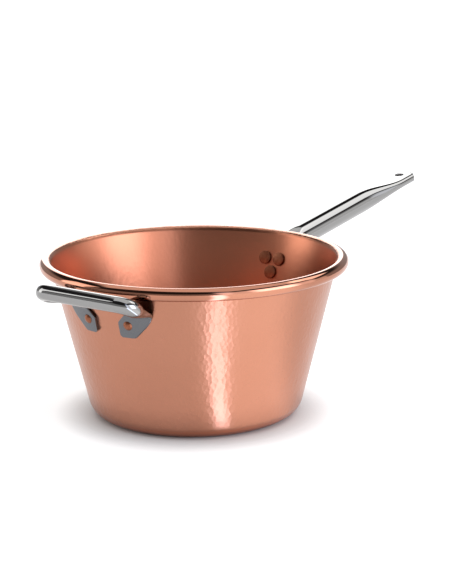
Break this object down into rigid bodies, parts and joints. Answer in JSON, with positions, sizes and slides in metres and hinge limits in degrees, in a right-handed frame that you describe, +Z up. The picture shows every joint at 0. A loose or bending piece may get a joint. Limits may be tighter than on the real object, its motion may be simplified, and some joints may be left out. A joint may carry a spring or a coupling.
{
  "type": "polenta pot",
  "caption": "Hammered copper polenta pot with a flared wall, a rolled rim, a long pressed-tube handle with a hanging hole, and a bent-tube helper handle, all riveted.",
  "frame": {"origin": "centre of the base, on the table", "axes": "+Z up along the pot's axis, +X out along the long handle, -X towards the helper handle"},
  "size_m": [0.5334, 0.28, 0.1692],
  "materials": {
    "hammered_copper": "bare copper, hammered over the wall inside and out, polished on the rolled rim",
    "polished_steel": "polished stainless steel tube, satin on the pressed lugs",
    "rivet_copper": "copper rivets, flat heads inside, domed ends outside"
  },
  "bodies": {
    "root": {"pot_body": "hammered_copper", "long_handle": "polished_steel", "helper_handle": "polished_steel", "long_rivet_1": "rivet_copper", "long_rivet_2": "rivet_copper", "long_rivet_3": "rivet_copper", "helper_rivet_1": "rivet_copper", "helper_rivet_2": "rivet_copper"}
  },
  "joints": []
}
